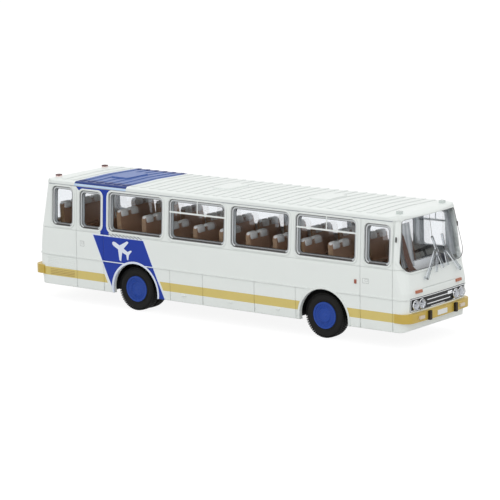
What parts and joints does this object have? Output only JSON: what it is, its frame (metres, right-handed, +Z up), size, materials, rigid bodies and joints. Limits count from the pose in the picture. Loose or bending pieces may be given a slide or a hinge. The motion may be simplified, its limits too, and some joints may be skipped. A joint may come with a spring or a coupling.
{
  "type": "scale model airport coach",
  "caption": "Collector's scale model of an airport transfer coach: white bodywork with blue and ochre bands, clear windows, brown seats and two rolling axles.",
  "frame": {"origin": "on the ground under the middle of the length", "axes": "+X forward, +Y to the coach's left, +Z up"},
  "size_m": [0.1244, 0.0294, 0.034],
  "materials": {
    "body_white": "satin",
    "clear": "gloss",
    "chassis_black": "matt",
    "cabin_brown": "matt",
    "dash_grey": "matt",
    "card_white": "matt",
    "ochre": "satin",
    "pad_black": "matt",
    "grille_black": "satin",
    "bright_trim": "polished",
    "lamp_clear": "gloss",
    "lamp_amber": "gloss",
    "lamp_red": "gloss",
    "wiper_clear": "gloss",
    "tyre": "matt",
    "hub_blue": "satin",
    "axle_steel": "plain"
  },
  "bodies": {
    "bus": {"body_shell": "body_white", "bumper_pads": "pad_black", "cabin_floor": "cabin_brown", "chassis": "chassis_black", "dashboard": "dash_grey", "driver_seat": "cabin_brown", "fog_lamps": "bright_trim", "front_bumper": "ochre", "front_indicators": "lamp_amber", "front_markers": "lamp_clear", "front_plate": "card_white", "grille_bars": "bright_trim", "grille_frame": "bright_trim", "grille_panel": "grille_black", "headlamps": "lamp_clear", "left_seats": "cabin_brown", "left_windows": "clear", "left_wiper": "wiper_clear", "rear_bench": "cabin_brown", "rear_bumper": "ochre", "rear_markers": "lamp_red", "rear_plate": "card_white", "rear_window": "clear", "right_seats": "cabin_brown", "right_windows": "clear", "right_wiper": "wiper_clear", "route_board": "card_white", "side_repeaters": "lamp_amber", "steering_wheel": "dash_grey", "tail_lamps": "lamp_red", "windscreen": "clear"},
    "front_axle_set": {"front_axle": "axle_steel", "front_left_hub": "hub_blue", "front_left_tyre": "tyre", "front_right_hub": "hub_blue", "front_right_tyre": "tyre"},
    "rear_axle_set": {"rear_axle": "axle_steel", "rear_left_hub": "hub_blue", "rear_left_tyre": "tyre", "rear_right_hub": "hub_blue", "rear_right_tyre": "tyre"}
  },
  "joints": [
    {"name": "front_axle_roll", "type": "hinge", "parent": "bus", "child": "front_axle_set", "pos_m": [0.035, 0, 0.00585], "axis": [0, 1, 0], "continuous": true},
    {"name": "rear_axle_roll", "type": "hinge", "parent": "bus", "child": "rear_axle_set", "pos_m": [-0.0263, 0, 0.00585], "axis": [0, 1, 0], "continuous": true}
  ]
}
